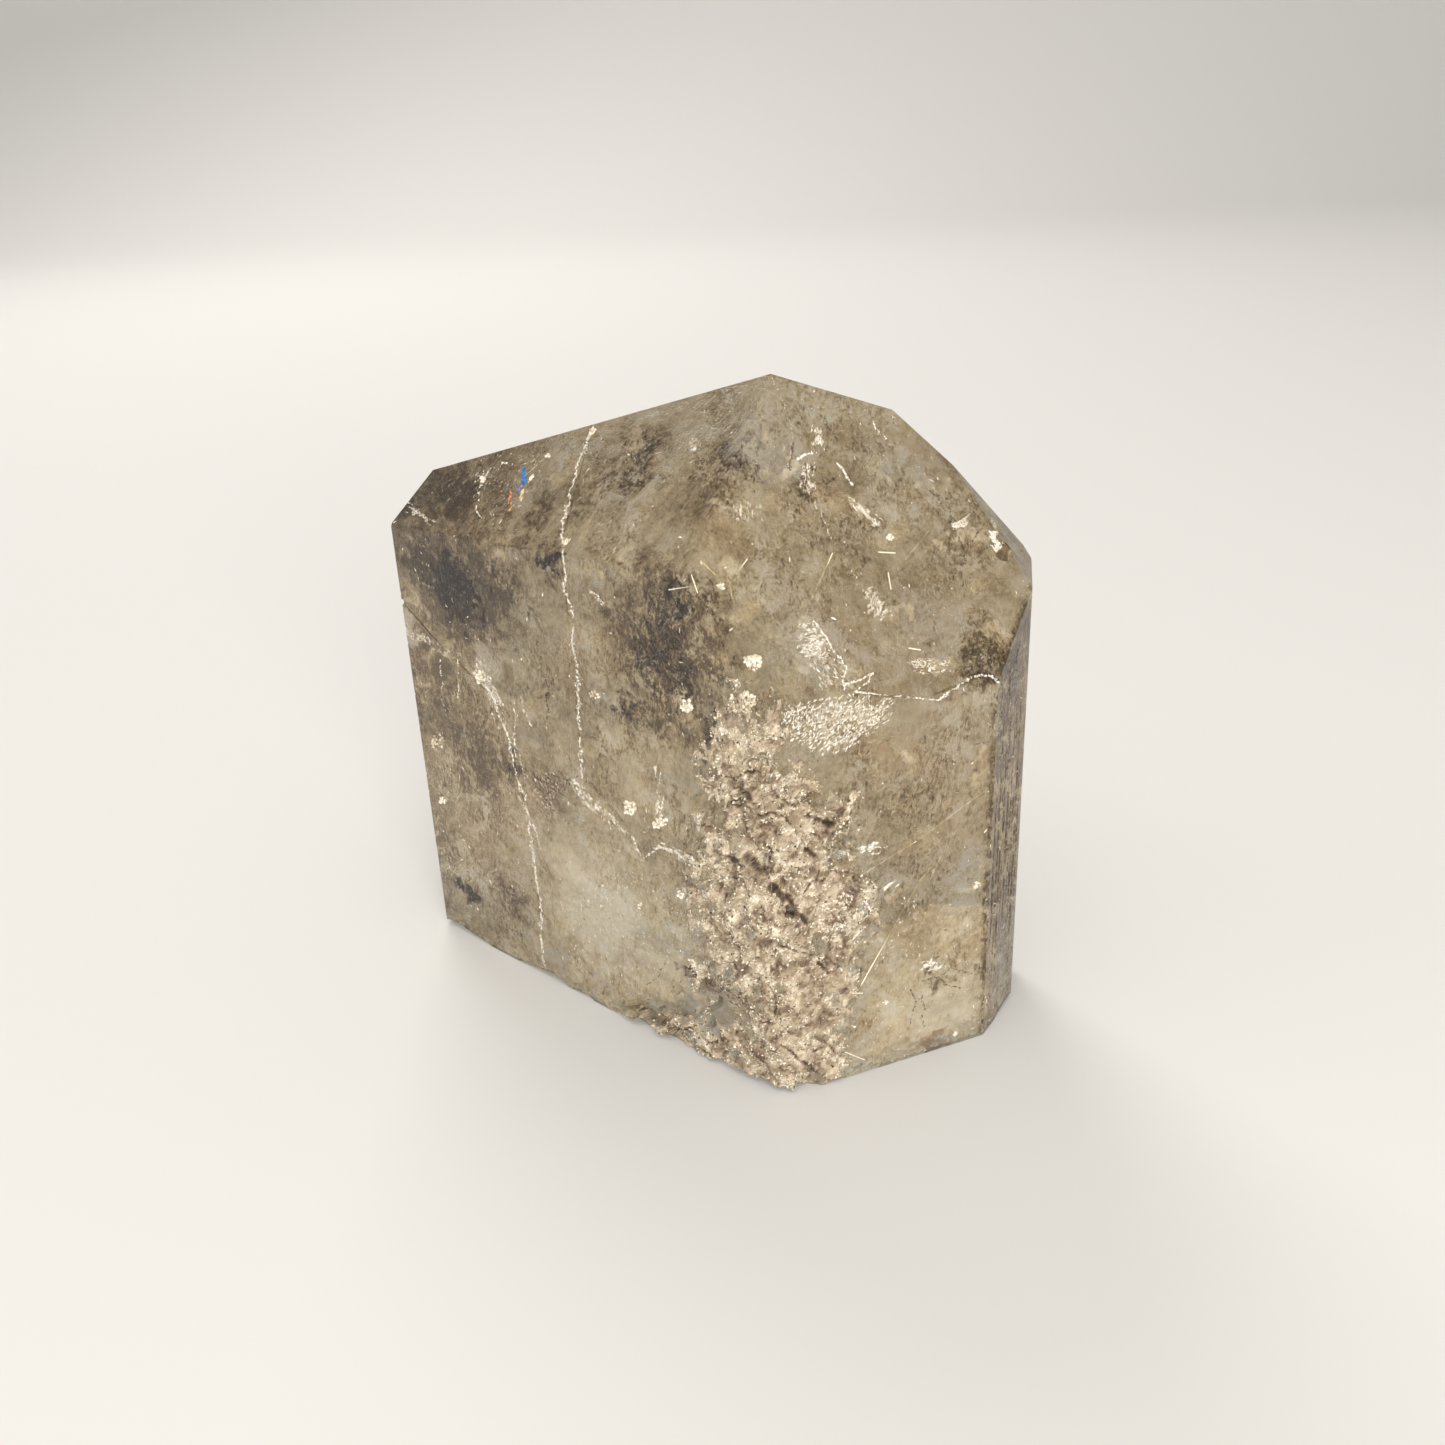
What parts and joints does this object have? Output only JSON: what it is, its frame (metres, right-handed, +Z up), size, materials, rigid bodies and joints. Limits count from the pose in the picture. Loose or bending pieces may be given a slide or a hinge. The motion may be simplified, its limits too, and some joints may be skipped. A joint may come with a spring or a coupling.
{
  "type": "rutilated quartz point",
  "caption": "Broad flattened quartz crystal with an off-centre six-sided tip, an etched granular corner and fine golden needles inside; stands upright on its broken base.",
  "frame": {"origin": "under the middle of the crystal's box, on the surface that it stands on", "axes": "+Z up along the crystal's long axis, +X along the broad front face towards the etched corner, the broad front face looks along -Y"},
  "size_m": [0.0702, 0.0344, 0.067],
  "materials": {
    "quartz": "clear to cloudy warm grey-beige natural crystal with glossy flat faces",
    "etched_crust": "granular cream and pinkish etched quartz with rust stains",
    "rutile": "fine golden needles with a silky shine",
    "healed_fracture": "white frosty veils and healed cracks inside the crystal"
  },
  "bodies": {
    "root": {"quartz_crystal": "quartz"}
  },
  "joints": []
}
